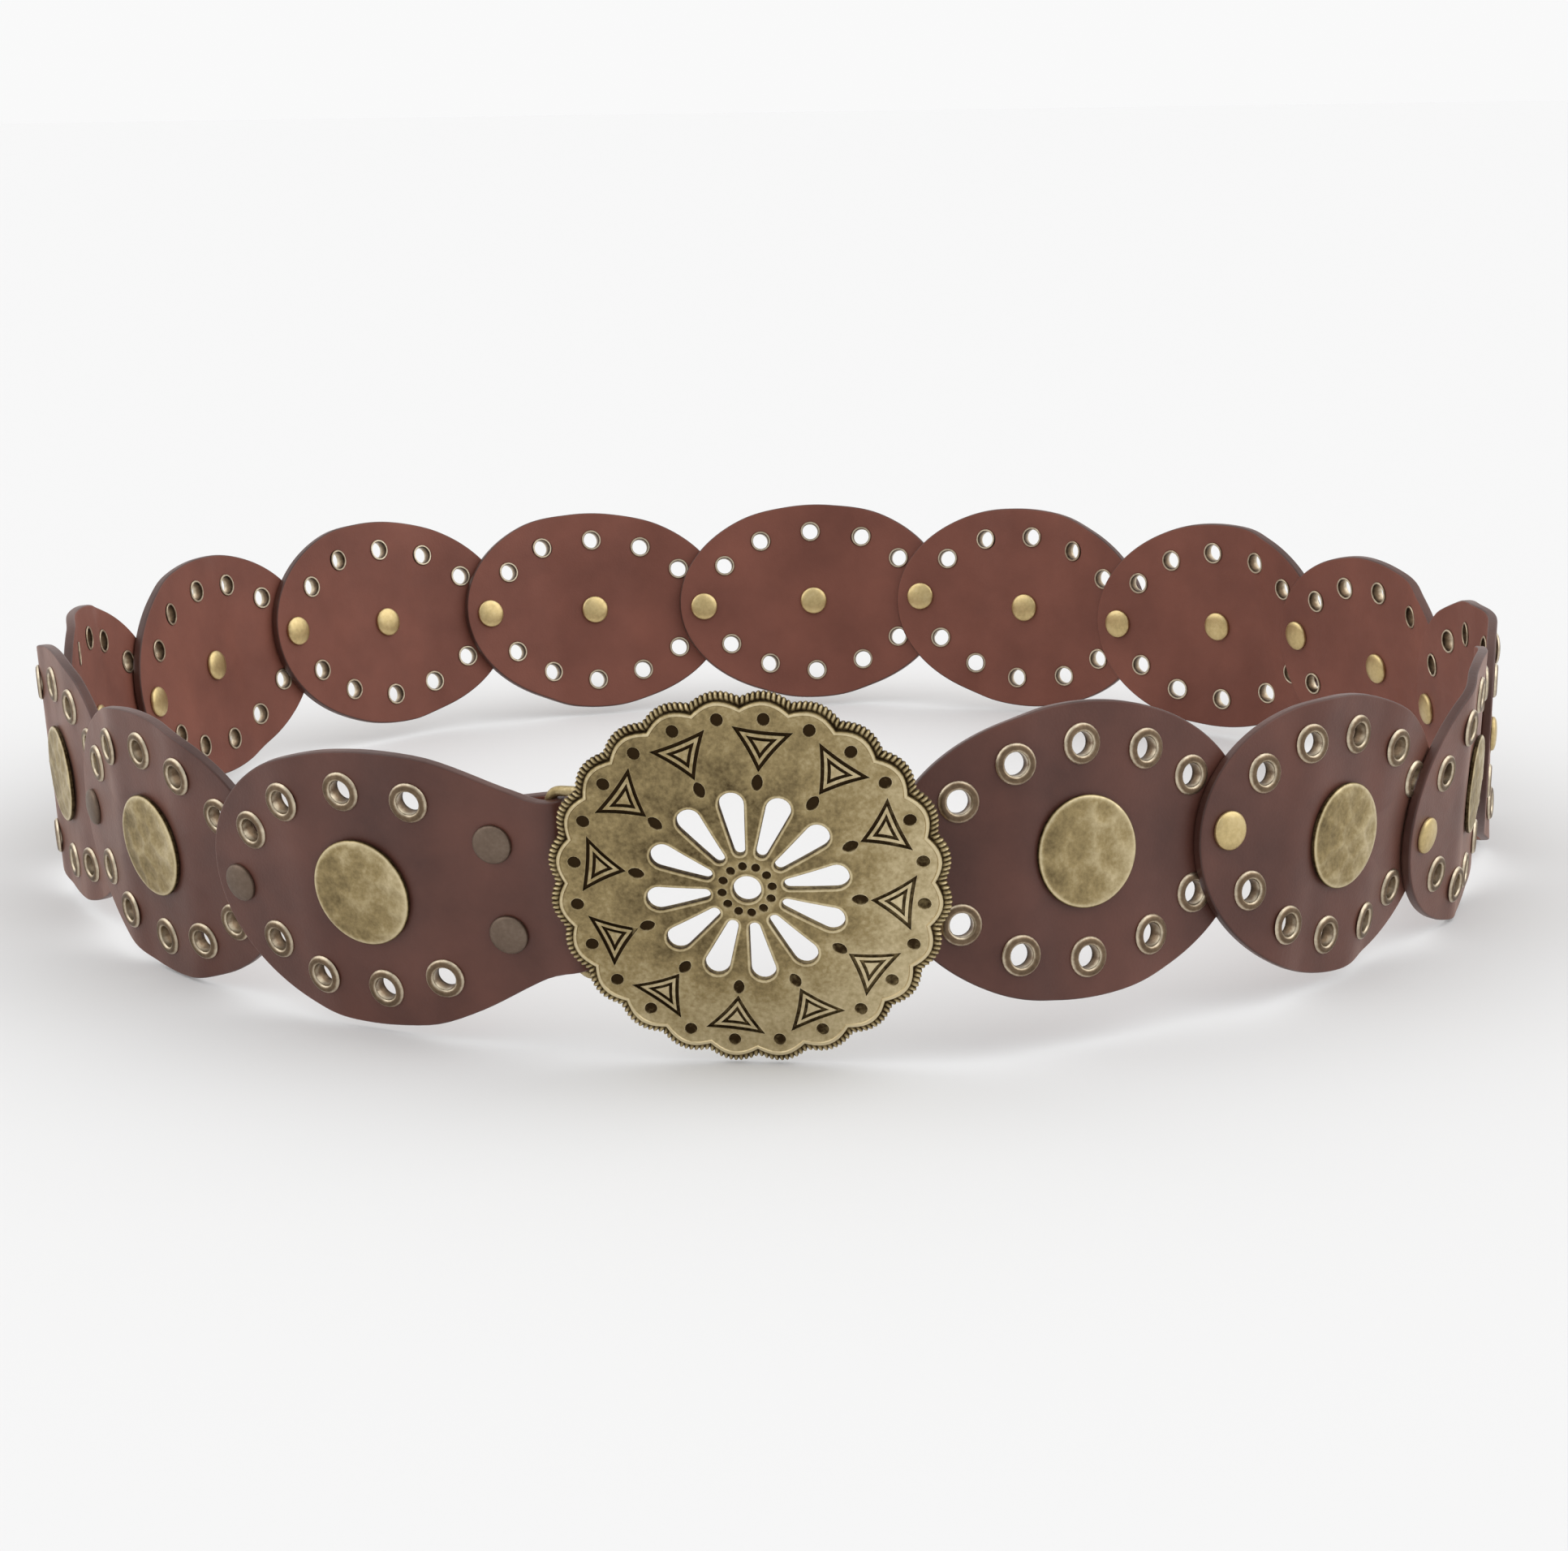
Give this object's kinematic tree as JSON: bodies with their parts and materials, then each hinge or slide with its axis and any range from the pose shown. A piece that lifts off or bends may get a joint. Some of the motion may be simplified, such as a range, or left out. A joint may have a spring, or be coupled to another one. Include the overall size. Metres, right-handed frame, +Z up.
{
  "type": "wide western belt",
  "caption": "Wide leather belt of oval discs riveted end to end, each with a round concho, closed into a round by a big pierced scalloped buckle.",
  "frame": {"origin": "under the middle of the belt's box, on the surface that the belt stands on", "axes": "+Z up, across the leather's width; -Y out of the buckle's face; +X to the right seen from the buckle"},
  "size_m": [0.3937, 0.4122, 0.0861],
  "materials": {
    "leather": "smooth semi-matte brown leather",
    "antique_brass": "antiqued brass plate, dark in the recesses",
    "rivet_brass": "dull polished rivet cap"
  },
  "bodies": {
    "root": {"disc_01": "leather", "disc_02": "leather", "disc_03": "leather", "disc_04": "leather", "disc_05": "leather", "disc_06": "leather", "disc_07": "leather", "disc_08": "leather", "disc_09": "leather", "disc_10": "leather", "disc_11": "leather", "disc_12": "leather", "disc_13": "leather", "disc_14": "leather", "disc_15": "leather", "concho_01": "antique_brass", "concho_02": "antique_brass", "concho_03": "antique_brass", "concho_04": "antique_brass", "concho_05": "antique_brass", "concho_06": "antique_brass", "concho_07": "antique_brass", "concho_08": "antique_brass", "concho_09": "antique_brass", "concho_10": "antique_brass", "concho_11": "antique_brass", "concho_12": "antique_brass", "concho_13": "antique_brass", "concho_14": "antique_brass", "concho_15": "antique_brass", "joint_rivet_01": "rivet_brass", "joint_rivet_02": "rivet_brass", "joint_rivet_03": "rivet_brass", "joint_rivet_04": "rivet_brass", "joint_rivet_05": "rivet_brass", "joint_rivet_06": "rivet_brass", "joint_rivet_07": "rivet_brass", "joint_rivet_08": "rivet_brass", "joint_rivet_09": "rivet_brass", "joint_rivet_10": "rivet_brass", "joint_rivet_11": "rivet_brass", "joint_rivet_12": "rivet_brass", "joint_rivet_13": "rivet_brass", "joint_rivet_14": "rivet_brass", "strap_rivet_upper": "rivet_brass", "strap_rivet_lower": "rivet_brass", "buckle": "antique_brass"}
  },
  "joints": []
}
